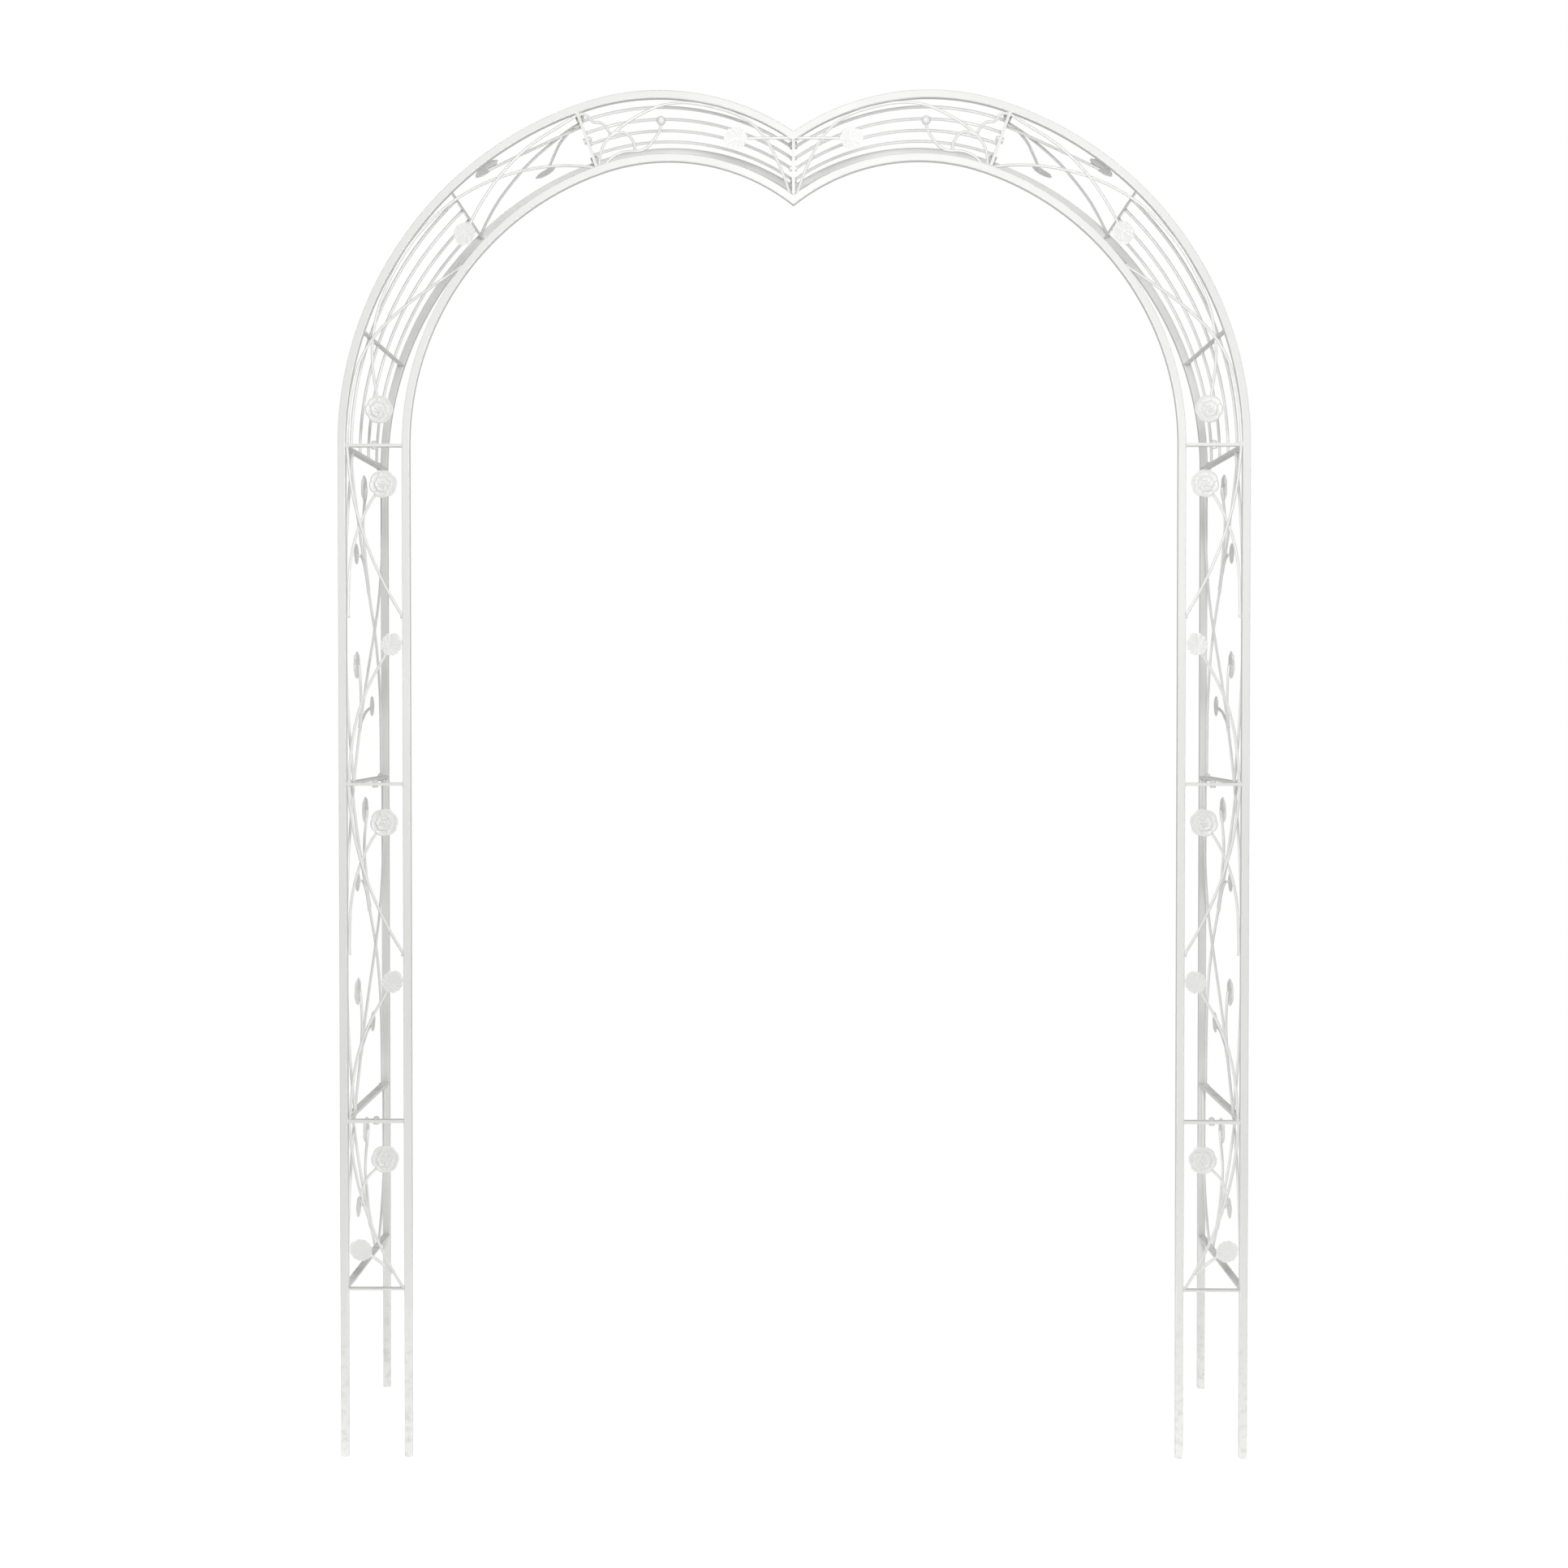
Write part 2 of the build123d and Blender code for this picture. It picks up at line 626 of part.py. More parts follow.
def haunch_plane(angle, depth, radius):
    outward = unit(angle)
    return Plane(origin=around(angle, depth, radius), x_dir=(0, 1, 0),
                 z_dir=(outward[0], 0, outward[1]))


def ornaments_in(section):
    """Roses, and leaves, in one side panel: the lower leg has only the upper ones."""
    return 1 if section == "lower_leg" else 2


def side_roses():
    back = OUTER_X + LAYER - HUG
    roses = [rose(haunch_plane(*VINE_ROSE, HAUNCH_LINE))]
    for section, base in LEGS.items():
        for depth, height in SIDE_ROSES[:ornaments_in(section)]:
            roses.append(rose(side_plane(depth, base + height, back)))
    return roses


def side_leaves():
    back = OUTER_X + LAYER - HUG
    leaves = [leaf(haunch_plane(*VINE_LEAF, HAUNCH_LINE), 180)]
    for section, base in LEGS.items():
        count = ornaments_in(section)
        for place, stem in zip(SIDE_LEAVES[:count], SIDE_LEAF_STEMS):
            plane = side_plane(place[0], base + place[1], back)
            leaves.append(leaf(plane, -stem[0][2]))
    return leaves


def bud():
    y = FRONT_FACE + BUD / 2 + SKIN
    return Pos(CROWN_BUD[0], y, CROWN_BUD[1]) * Sphere(BUD / 2)


def hexagon():
    return RegularPolygon(HEX / 2, 6, major_radius=False)


def bolt_planes(station, head_side):
    """Planes of the three bolts of a joint, under their heads and pointing out."""
    places = [(FRONT_Y, station.pitch / 2)] + [(y, 0.0) for y in side_bolt_depths()]
    planes = []
    for y, in_by in places:
        plane = station.plane(y, in_by, head_side * FLANGE)
        planes.append(Plane(plane.origin, x_dir=plane.x_dir, z_dir=plane.z_dir * head_side))
    return planes


def bolt(plane):
    """Hexagon bolt: the head outside the bars, the shank through bars and nut."""
    grip = 2 * FLANGE + NUT_HEIGHT + THREAD_END
    head = extrude(hexagon(), HEAD_HEIGHT)
    shank = Pos(0, 0, -grip) * extrude(Circle(BOLT / 2), grip)
    return plane * (head + shank)


def nut(plane):
    ring = extrude(hexagon() - Circle((BOLT + NUT_CLEARANCE) / 2), NUT_HEIGHT)
    return plane * (Pos(0, 0, -2 * FLANGE - NUT_HEIGHT) * ring)


# ---- writing -----------------------------------------------------------------------
def flipped(solids):
    return [mirror(solid, about=Plane.YZ) for solid in solids]


def write(name, solids):
    solids = [solid for shape in solids for solid in shape.solids()]
    shape = solids[0] if len(solids) == 1 else Compound(children=solids)
    export_step(shape, f"parts/{name}.step")
    print(name, len(solids))


def write_sides(name, solids):
    """Writes the left-hand node and its mirror image."""
    write(f"left_{name}", solids)
    write(f"right_{name}", flipped(solids))


def write_pair_group(name, solids):
    """Writes the pieces of both sides as one node."""
    write(name, [*solids, *flipped(solids)])


def main():
    os.makedirs("parts", exist_ok=True)
    for section in SECTIONS:
        for row in ROWS:
            write_sides(f"{section}_{row}_tube", [left_tube(section, row)])

    front_bars = {section: [] for section in SECTIONS}
    side_bars = {section: [] for section in SECTIONS}
    for section, station, offset, thickness, bolted in BARS:
        front_bars[section].append(front_bar(station, offset, thickness, bolted))
        side_bars[section].append(side_bar(station, offset, thickness, bolted))
    lower_stay, upper_stay = [side_bar(stay, 0.0, STAY, False) for stay in HAUNCH_STAYS]
    for y in rod_depths():
        lower_stay -= haunch_rod(y, STRAIGHT_ROD + ROD_CLEARANCE)
    side_bars["haunch"] += [biggest(lower_stay), upper_stay]
    write_pair_group("front_crossbars", sum(front_bars.values(), []))
    write_pair_group("side_crossbars", sum(side_bars.values(), []))

    for section in LEGS:
        write_sides(f"{section}_front_scroll", leg_front_rods(section))
        write_sides(f"{section}_side_scroll", leg_side_rods(section))
    write_sides("haunch_front_scroll", haunch_front_rods(front_bars["haunch"]))
    write_sides("haunch_side_scroll", haunch_side_rods(side_bars["haunch"]))
    write_sides("crown_front_scroll", crown_front_rods(front_bars["crown"]))
    write_sides("crown_roof_rods", crown_side_rods(side_bars["crown"]))

    write_pair_group("front_roses", front_roses())
    write_pair_group("side_roses", side_roses())
    write_pair_group("front_leaves", front_leaves())
    write_pair_group("side_leaves", side_leaves())
    write_pair_group("buds", [bud()])

    side_planes = []
    for joint in (*LEG_JOINTS, CROWN_JOINT):
        side_planes += bolt_planes(joint, -1)
    middle_planes = bolt_planes(MIDDLE_JOINT, 1)
    left_bolts = [bolt(plane) for plane in side_planes]
    left_nuts = [nut(plane) for plane in side_planes]
    write("bolts", [*left_bolts, *flipped(left_bolts), *[bolt(p) for p in middle_planes]])
    write("nuts", [*left_nuts, *flipped(left_nuts), *[nut(p) for p in middle_planes]])


main()
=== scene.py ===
import heapq
import json
import math
import random

import bpy
import numpy as np
from mathutils import Matrix, Vector


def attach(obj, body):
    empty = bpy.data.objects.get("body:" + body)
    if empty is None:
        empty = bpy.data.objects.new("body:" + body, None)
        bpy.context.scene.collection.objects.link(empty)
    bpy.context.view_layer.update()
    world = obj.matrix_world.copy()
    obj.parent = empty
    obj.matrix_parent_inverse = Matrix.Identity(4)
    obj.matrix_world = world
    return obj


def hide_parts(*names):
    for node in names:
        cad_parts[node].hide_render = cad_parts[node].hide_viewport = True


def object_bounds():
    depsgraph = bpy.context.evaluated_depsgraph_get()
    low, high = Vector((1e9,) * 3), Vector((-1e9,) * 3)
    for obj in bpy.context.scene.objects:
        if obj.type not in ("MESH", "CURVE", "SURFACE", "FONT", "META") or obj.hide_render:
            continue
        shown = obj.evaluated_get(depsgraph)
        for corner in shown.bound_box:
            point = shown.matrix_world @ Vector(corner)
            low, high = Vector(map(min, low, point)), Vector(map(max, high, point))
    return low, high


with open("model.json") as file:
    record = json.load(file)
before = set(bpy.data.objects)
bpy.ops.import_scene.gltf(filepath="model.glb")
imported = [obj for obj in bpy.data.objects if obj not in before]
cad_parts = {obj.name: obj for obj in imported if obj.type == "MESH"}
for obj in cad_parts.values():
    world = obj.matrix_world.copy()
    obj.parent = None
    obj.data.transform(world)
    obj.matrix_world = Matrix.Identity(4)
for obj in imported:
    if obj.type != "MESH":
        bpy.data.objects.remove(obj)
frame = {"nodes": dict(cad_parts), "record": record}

# The visual model of the garden arch. Tubes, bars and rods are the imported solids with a
# powder-coat material. Roses, leaves, buds, bolts and nuts are modelled here in detail,
# each where its plain solid is, and weld beads are added at the ends of bars and most rods.

MM = 0.001
SAME_PLACE = 0.001         # vertices this near, in mm, are one
cad_low, cad_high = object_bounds()
random.seed(7)


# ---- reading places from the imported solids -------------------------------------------
def welded(node):
    """Vertices of a node with doubles merged, and its edges between them."""
    mesh = frame["nodes"][node].data
    count = len(mesh.vertices)
    co = np.empty(count * 3)
    mesh.vertices.foreach_get("co", co)
    co = co.reshape(count, 3)
    keys = np.round(co / (SAME_PLACE * MM)).astype(np.int64)
    first, inverse = np.unique(keys, axis=0, return_index=True, return_inverse=True)[1:]
    edges = np.empty(len(mesh.edges) * 2, dtype=np.int64)
    mesh.edges.foreach_get("vertices", edges)
    return co[first], inverse.reshape(-1)[edges].reshape(-1, 2)


def labelled(node):
    """Merged vertices of a node, its edges, and the number of each vertex's body.

    Solids that share a vertex are one body, such as two crossbars that touch.
    """
    points, edges = welded(node)
    label = np.arange(len(points))
    while True:
        low = np.minimum(label[edges[:, 0]], label[edges[:, 1]])
        new = label.copy()
        np.minimum.at(new, edges[:, 0], low)
        np.minimum.at(new, edges[:, 1], low)
        new = new[new]
        if (new == label).all():
            return points, edges, label
        label = new


def islands(node):
    """The bodies of a node, each as an array of points, in a fixed order."""
    points, edges, label = labelled(node)
    groups = [points[label == value] for value in np.unique(label)]
    return sorted(groups, key=lambda g: tuple(np.round(g.mean(axis=0), 4)))


def middle(points):
    return (points.min(axis=0) + points.max(axis=0)) / 2


def axes_of(points):
    """Directions in which a solid is thinnest, wider and longest."""
    vectors = np.linalg.eigh(np.cov((points - points.mean(axis=0)).T))[1]
    return vectors[:, 0], vectors[:, 1], vectors[:, 2]


# ---- mesh building -------------------------------------------------------------------
class Builder:
    """Collects vertices and faces of one piece."""

    def __init__(self):
        self.points = []
        self.faces = []

    def add(self, points, faces, matrix=None):
        base = len(self.points)
        for point in points:
            self.points.append(matrix @ Vector(point) if matrix else Vector(point))
        for face in faces:
            self.faces.append(tuple(base + index for index in face))

    def piece(self, name, material, slot, nodes=(), smooth_angle=40):
        mesh = bpy.data.meshes.new(name)
        mesh.from_pydata([tuple(p) for p in self.points], [], self.faces)
        mesh.validate()
        mesh.update()
        mesh.materials.append(material)
        mesh.shade_smooth()
        mesh.set_sharp_from_angle(angle=math.radians(smooth_angle))
        piece = bpy.data.objects.new(name, mesh)
        bpy.context.scene.collection.objects.link(piece)
        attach(piece, "root")
        if nodes:
            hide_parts(*nodes)
        return piece


def grid_faces(rows, columns, closed):
    """Quads of a grid of rows; closed joins the last column to the first."""
    faces = []
    last = columns if closed else columns - 1
    for row in range(rows - 1):
        for column in range(last):
            right = (column + 1) % columns
            a = row * columns + column
            b = row * columns + right
            faces.append((a, b, b + columns, a + columns))
    return faces


def shell(grid, thickness):
    """Closed thin shell from an open grid of points, thickened downwards."""
    rows, columns = len(grid), len(grid[0])
    top = [point for row in grid for point in row]
    under = [(x, y, z - thickness) for x, y, z in top]
    count = len(top)
    faces = grid_faces(rows, columns, closed=False)
    faces += [tuple(count + i for i in reversed(face)) for face in list(faces)]
    rim = [(0, column) for column in range(columns)]
    rim += [(row, columns - 1) for row in range(1, rows)]
    rim += [(rows - 1, column) for column in range(columns - 2, -1, -1)]
    rim += [(row, 0) for row in range(rows - 2, 0, -1)]
    loop = [row * columns + column for row, column in rim]
    for a, b in zip(loop, loop[1:] + loop[:1]):
        faces.append((b, a, count + a, count + b))
    return top + under, faces


def ringed_faces(rings, steps):
    """Faces of a closed body: a first point, rings of points and a last point."""
    faces = [(0, 1 + (s + 1) % steps, 1 + s) for s in range(steps)]
    for face in grid_faces(rings, steps, closed=True):
        faces.append(tuple(1 + index for index in face))
    last = 1 + (rings - 1) * steps
    tip = last + steps
    faces += [(tip, last + s, last + (s + 1) % steps) for s in range(steps)]
    return faces


def lathe(profile, steps=24):
    """Closed body of revolution around Z.

    The profile is (radius, z) points in mm, and starts and ends at radius 0.
    """
    points = [(0, 0, profile[0][1] * MM)]
    for radius, z in profile[1:-1]:
        for step in range(steps):
            turn = 2 * math.pi * step / steps
            points.append((radius * MM * math.cos(turn), radius * MM * math.sin(turn), z * MM))
    points.append((0, 0, profile[-1][1] * MM))
    return points, ringed_faces(len(profile) - 2, steps)


def pose(origin, normal, towards):
    """Matrix that puts local Z along normal and local X towards a direction."""
    z_axis = Vector(normal).normalized()
    x_axis = Vector(towards)
    x_axis = (x_axis - x_axis.dot(z_axis) * z_axis).normalized()
    y_axis = z_axis.cross(x_axis)
    matrix = Matrix((x_axis, y_axis, z_axis)).transposed().to_4x4()
    matrix.translation = Vector(origin)
    return matrix


# ---- materials -----------------------------------------------------------------------
def node_of(tree, kind, **settings):
    node = tree.nodes.new(kind)
    for key, value in settings.items():
        setattr(node, key, value)
    return node


def noise(tree, vector, scale, detail=3.0, roughness=0.5):
    node = node_of(tree, "ShaderNodeTexNoise")
    node.inputs["Scale"].default_value = scale
    node.inputs["Detail"].default_value = detail
    node.inputs["Roughness"].default_value = roughness
    tree.links.new(vector, node.inputs["Vector"])
    return node.outputs["Fac"]


def remap(tree, value, low, high, out_low, out_high):
    node = node_of(tree, "ShaderNodeMapRange")
    for index, number in enumerate((low, high, out_low, out_high)):
        node.inputs[index + 1].default_value = number
    tree.links.new(value, node.inputs[0])
    return node.outputs[0]


def blend(tree, factor, first, second):
    """Mix of two colours; each is a socket or a plain colour."""
    node = node_of(tree, "ShaderNodeMix", data_type="RGBA")
    tree.links.new(factor, node.inputs["Factor"])
    for socket, colour in ((node.inputs[6], first), (node.inputs[7], second)):
        if isinstance(colour, tuple):
            socket.default_value = (*colour, 1.0)
        else:
            tree.links.new(colour, socket)
    return node.outputs[2]


def times(tree, first, second):
    node = node_of(tree, "ShaderNodeMath", operation="MULTIPLY")
    tree.links.new(first, node.inputs[0])
    tree.links.new(second, node.inputs[1])
    return node.outputs[0]


def bump(tree, height, strength, distance, below=None):
    node = node_of(tree, "ShaderNodeBump")
    node.inputs["Strength"].default_value = strength
    node.inputs["Distance"].default_value = distance
    tree.links.new(height, node.inputs["Height"])
    if below:
        tree.links.new(below, node.inputs["Normal"])
    return node.outputs["Normal"]


DUST = (0.60, 0.58, 0.53)
SOIL = (0.52, 0.50, 0.45)
RAISED = (0.93, 0.93, 0.92)      # thinner, cleaner coat on raised edges
HOLLOW_SHADE = (0.60, 0.595, 0.57)     # painted shade for the hollows of pressed ornaments
SOIL_HEIGHT = 0.30               # metres above the ground that rain splashes reach


def powder_coat(name, tone, shade, rough, grain=1.0, rims=None):
    """Satin powder coat: faint mottling, dust on upper faces, soil near the ground,
    and an orange-peel bump.

    tone is the clean colour and shade the slightly greyer one it drifts to. rims gives the
    contrast between worn, lighter raised edges and the painted shade in hollows on pressed
    ornaments.
    """
    material = bpy.data.materials.new(name)
    material.use_nodes = True
    tree = material.node_tree
    shader = tree.nodes["Principled BSDF"]
    place = node_of(tree, "ShaderNodeTexCoord").outputs["Object"]
    geometry = node_of(tree, "ShaderNodeNewGeometry")

    cloud = remap(tree, noise(tree, place, 3.5, 4.0), 0.35, 0.65, 0.0, 1.0)
    fleck = remap(tree, noise(tree, place, 60.0, 3.0, 0.6), 0.40, 0.70, 0.0, 0.6)
    colour = blend(tree, cloud, tone, shade)
    colour = blend(tree, times(tree, fleck, cloud), colour, shade)

    up = node_of(tree, "ShaderNodeSeparateXYZ")
    tree.links.new(geometry.outputs["Normal"], up.inputs[0])
    facing_up = remap(tree, up.outputs["Z"], 0.55, 1.0, 0.0, 0.5)
    patchy = remap(tree, noise(tree, place, 25.0, 5.0, 0.65), 0.42, 0.62, 0.0, 1.0)
    dust = times(tree, facing_up, patchy)
    colour = blend(tree, dust, colour, DUST)

    height = node_of(tree, "ShaderNodeSeparateXYZ")
    tree.links.new(place, height.inputs[0])
    near_ground = remap(tree, height.outputs["Z"], 0.0, SOIL_HEIGHT, 0.55, 0.0)
    splash = remap(tree, noise(tree, place, 90.0, 6.0, 0.7), 0.48, 0.66, 0.0, 1.0)
    colour = blend(tree, times(tree, near_ground, splash), colour, SOIL)

    if rims is not None:
        worn = remap(tree, geometry.outputs["Pointiness"], 0.50, 0.56, 0.0, rims)
        colour = blend(tree, worn, colour, RAISED)
        # painted shade: where Pointiness is low, in the hollows, the colour darkens to stand in
        # for the shade that falls there
        hollow = remap(tree, geometry.outputs["Pointiness"], 0.49, 0.44, 0.0, rims)
        colour = blend(tree, hollow, colour, HOLLOW_SHADE)
    tree.links.new(colour, shader.inputs["Base Color"])

    gloss = noise(tree, place, 14.0, 4.0)
    tree.links.new(remap(tree, gloss, 0.3, 0.7, rough - 0.05, rough + 0.07),
                   shader.inputs["Roughness"])
    waves = bump(tree, noise(tree, place, 180.0, 2.0), 0.25 * grain, 0.15 * MM)
    peel = bump(tree, noise(tree, place, 900.0, 2.0), 0.30 * grain, 0.06 * MM, waves)
    tree.links.new(peel, shader.inputs["Normal"])
    shader.inputs["Specular IOR Level"].default_value = 0.55
    return material


frame_coat = powder_coat("frame_coat", (0.84, 0.84, 0.825), (0.80, 0.80, 0.78), 0.42)
bar_coat = powder_coat("bar_coat", (0.83, 0.83, 0.815), (0.79, 0.79, 0.77), 0.45)
rod_coat = powder_coat("rod_coat", (0.85, 0.85, 0.835), (0.81, 0.81, 0.79), 0.30)
ornament_coat = powder_coat("ornament_coat", (0.85, 0.85, 0.835), (0.81, 0.81, 0.79),
                            0.38, rims=0.4)
fastener_coat = powder_coat("fastener_coat", (0.78, 0.78, 0.765), (0.72, 0.72, 0.70), 0.34)
weld_coat = powder_coat("weld_coat", (0.83, 0.83, 0.815), (0.78, 0.78, 0.76), 0.45, grain=3.0)

COATS = {
    "frame_coat": frame_coat,
    "bar_coat": bar_coat,
    "rod_coat": rod_coat,
    "ornament_coat": ornament_coat,
    "fastener_coat": fastener_coat,
}
for entry in frame["record"]["subparts"]:
    node = frame["nodes"][entry["node"]]
    for material_slot in node.material_slots:
        material_slot.material = COATS[entry["material_slot"]]


# ---- roses ---------------------------------------------------------------------------
class Tier:
    """One ring of a rose's petals. Lengths are in mm and angles in degrees."""

    def __init__(self, petals, inner, outer, base, turn, spiral, rim):
        self.petals = petals
        self.inner = inner
        self.outer = outer
        self.base = base          # height of the petals' hollow floor
        self.turn = turn          # direction of the first petal's free edge
        self.spiral = spiral      # how far free edges turn on their way inwards
        self.rim = rim            # width of the rolled rim


ROSE_TIERS = (
    Tier(6, 8.0, 23.15, 1.4, 8, 34, 2.6),
    Tier(6, 3.6, 14.2, 2.9, 28, 62, 2.0),
    Tier(3, 1.9, 5.7, 3.9, 50, 80, 1.2),
)
OVERLAP = 1.35             # a petal's whole width over the width that shows
EDGE_DIP = 0.075           # how far an outline draws in at a petal's sides, over its radius
BACK_DIP = 0.085           # the same for the back plate
OUTLINE_POWER = 2.4        # how late the outline starts to draw in
PETAL_SHEET = 0.9          # mm
BACK_SPOKES = 96
# shares of the outline's radius, and heights in mm
BACK_PROFILE = ((0.0, 0.0), (0.75, 0.0), (0.94, 0.25), (0.985, 0.7), (0.97, 1.2), (0.0, 1.9))
BEAD_PROFILE = ((0, 3.0), (2.5, 3.1), (2.5, 4.3), (2.0, 4.5), (1.75, 5.0), (1.3, 5.5),
                (0.7, 5.75), (0, 5.8))


def hump(distance, width):
    return math.exp(-(distance / width) ** 2)


def outline(tier, u, dip):
    """Radius of a petal's edge; u runs from 0 to 1 across the petal."""
    return tier.outer - dip * tier.outer * abs(2 * u - 1) ** OUTLINE_POWER


def petal(builder, matrix, tier, start, mirror):
    """One hollow petal with a rolled rim, its free edge lifted over the next petal.

    u runs from the free edge to the hidden one, and t from the middle outwards.
    """
    across, along = 16, 14
    pitch = 360 / tier.petals
    length = tier.outer - tier.inner
    grid = []
    for j in range(along + 1):
        t = j / along
        row = []
        for i in range(across + 1):
            u = OVERLAP * (i / across) ** 1.3
            edge = outline(tier, u, EDGE_DIP)
            radius = tier.inner + (edge - tier.inner) * t
            angle = math.radians(start + pitch * u - tier.spiral * (1 - t) ** 1.2)
            to_edge = (1 - t) * length
            to_side = u * math.radians(pitch) * radius
            rim = max(hump(to_edge - tier.rim * 0.80, tier.rim * 0.60),
                      hump(to_side - tier.rim * 0.55, tier.rim * 0.55))
            roll = max(0, 1 - to_edge / (tier.rim * 0.8)) ** 2
            roll = max(roll, max(0, 1 - to_side / (tier.rim * 0.5)) ** 2)
            height = tier.base + 0.7 * (1 - u) + 0.85 * rim - 1.0 * roll
            row.append((mirror * radius * math.cos(angle) * MM,
                        radius * math.sin(angle) * MM, height * MM))
        grid.append(row)
    points, faces = shell(grid, PETAL_SHEET * MM)
    if mirror > 0:
        faces = [tuple(reversed(face)) for face in faces]
    builder.add(points, faces, matrix)


def back_plate(builder, matrix, tier, mirror):
    """Smooth dished back of a rose, with the scalloped outline of its outer petals."""
    points = [(0, 0, BACK_PROFILE[0][1] * MM)]
    for share, z in BACK_PROFILE[1:-1]:
        for spoke in range(BACK_SPOKES):
            angle = 360 * spoke / BACK_SPOKES
            u = (angle - tier.turn) * tier.petals / 360 % 1
            edge = outline(tier, u, BACK_DIP)
            turn = math.radians(angle)
            points.append((mirror * share * edge * math.cos(turn) * MM,
                           share * edge * math.sin(turn) * MM, z * MM))
    points.append((0, 0, BACK_PROFILE[-1][1] * MM))
    faces = ringed_faces(len(BACK_PROFILE) - 2, BACK_SPOKES)
    if mirror < 0:
        faces = [tuple(reversed(face)) for face in faces]
    builder.add(points, faces, matrix)


def rose(builder, matrix, mirror):
    """Pressed rose: tiers of overlapping petals, a back plate and a ringed bead.

    Local X runs to the stem. Mirror is -1 for the other hand.
    """
    for tier in ROSE_TIERS:
        for index in range(tier.petals):
            petal(builder, matrix, tier, tier.turn + 360 * index / tier.petals, mirror)
    back_plate(builder, matrix, ROSE_TIERS[0], mirror)
    builder.add(*lathe(BEAD_PROFILE, 28), matrix)


PASSAGE_MIDDLE = np.array([0, 0, 1.2])


def outward(points):
    """Flat solid's normal, turned to face away from the middle of the passage."""
    normal = axes_of(points)[0]
    away = middle(points) - PASSAGE_MIDDLE
    away[1] = 0
    return normal if normal @ away > 0 else -normal


def back_origin(points, normal):
    """Middle of a flat solid, moved to its back face."""
    centre = middle(points)
    return centre + (np.min((points - centre) @ normal)) * normal


def rod_near(points, rods):
    """Direction from an ornament's middle to its stem: the rod that comes nearest to it."""
    centre = middle(points)
    reach = np.linalg.norm(points - centre, axis=1).max()
    best, way = 1e9, np.array([1.0, 0.0, 0.0])
    for rod in rods:
        away = np.linalg.norm(rod - centre, axis=1)
        ring = rod[(away > reach) & (away < reach * 1.5)]
        if away.min() < best and len(ring):
            best, way = away.min(), ring.mean(axis=0) - centre
    return way


def rods_of(scroll):
    """The rods of all nodes whose name holds a word, one array of points for each body."""
    return [rod for name in frame["nodes"] if scroll in name for rod in islands(name)]


def make_roses(node, facing, scroll):
    rods = rods_of(scroll)
    builder = Builder()
    for points in islands(node):
        normal = facing(points)
        mirror = 1 if middle(points)[0] > 0 else -1
        stem = rod_near(points, rods)
        rose(builder, pose(back_origin(points, normal), normal, mirror * stem), mirror)
    builder.piece(node + "_pressed", ornament_coat, "ornament_coat", [node])


def to_front(points):
    return np.array([0.0, -1.0, 0.0])


make_roses("front_roses", to_front, "front_scroll")
make_roses("side_roses", outward, "side_scroll")


# ---- leaves --------------------------------------------------------------------------
LEAF_LONG = 38.8           # mm, along the stem
LEAF_WIDE = 35.6
LEAF_FOLDS = (42, 75, 101, 131, 155)  # degrees from the stem, on both sides
LEAF_SPOKES = 120
LEAF_RINGS = 10
LEAF_SHEET = 0.8           # mm
VEIN_SHARE = 0.16          # the folds meet this share of the length off the middle


def fold_angles():
    """Directions of all folds from the vein point, in order, with the first repeated."""
    angles = [math.radians(a) for a in LEAF_FOLDS]
    angles += [2 * math.pi - a for a in reversed(angles)]
    return angles + [angles[0] + 2 * math.pi]


def leaf(builder, matrix):
    """Pressed leaf: scalloped outline, folds from a point near the stem, raised rim.

    Local X runs from the middle of the leaf to its stem.
    """
    offset = VEIN_SHARE * LEAF_LONG
    a, b = LEAF_LONG / 2, LEAF_WIDE / 2
    folds = fold_angles()
    top = [(offset * MM, 0, 0.9 * MM)]
    for ring in range(1, LEAF_RINGS + 1):
        t = (ring / LEAF_RINGS) ** 0.8
        for spoke in range(LEAF_SPOKES):
            angle = folds[0] + 2 * math.pi * spoke / LEAF_SPOKES
            before = max(f for f in folds if f <= angle + 1e-9)
            after = min(f for f in folds if f > angle + 1e-9)
            share = (angle - before) / (after - before)
            dx, dy = math.cos(angle), math.sin(angle)
            # distance from the vein point to the oval outline, by the quadratic formula
            qa = (dx / a) ** 2 + (dy / b) ** 2
            qb = 2 * offset * dx / a ** 2
            qc = (offset / a) ** 2 - 1
            reach = (-qb + math.sqrt(qb * qb - 4 * qa * qc)) / (2 * qa)
            swell = max(0, math.sin(math.pi * share))
            depth = 0.05 + 0.08 * min(1, (after - before) / 0.9)
            reach *= 1 - depth * (1 - swell ** 0.55)
            nearest = min(angle - before, after - angle)
            crease = hump(t * reach * math.sin(min(nearest, 1.5)), 0.75) * min(1, 4 * t)
            to_edge = (1 - t) * reach
            z = 1.05 + 0.18 * swell * t - 0.18 * crease
            z += 0.22 * hump(to_edge - 1.1, 0.8) - 0.25 * max(0, 1 - to_edge / 0.7) ** 2
            top.append(((offset + t * reach * dx) * MM, t * reach * dy * MM, z * MM))
    count = len(top)
    under = [(x, y, z - LEAF_SHEET * MM) for x, y, z in top]
    faces = [(0, 1 + s, 1 + (s + 1) % LEAF_SPOKES) for s in range(LEAF_SPOKES)]
    for face in grid_faces(LEAF_RINGS, LEAF_SPOKES, closed=True):
        faces.append(tuple(1 + i for i in reversed(face)))
    faces += [tuple(count + i for i in reversed(f)) for f in list(faces)]
    outer = 1 + (LEAF_RINGS - 1) * LEAF_SPOKES
    for s in range(LEAF_SPOKES):
        here = outer + s
        there = outer + (s + 1) % LEAF_SPOKES
        faces.append((here, count + here, count + there, there))
    builder.add(top + under, faces, matrix)


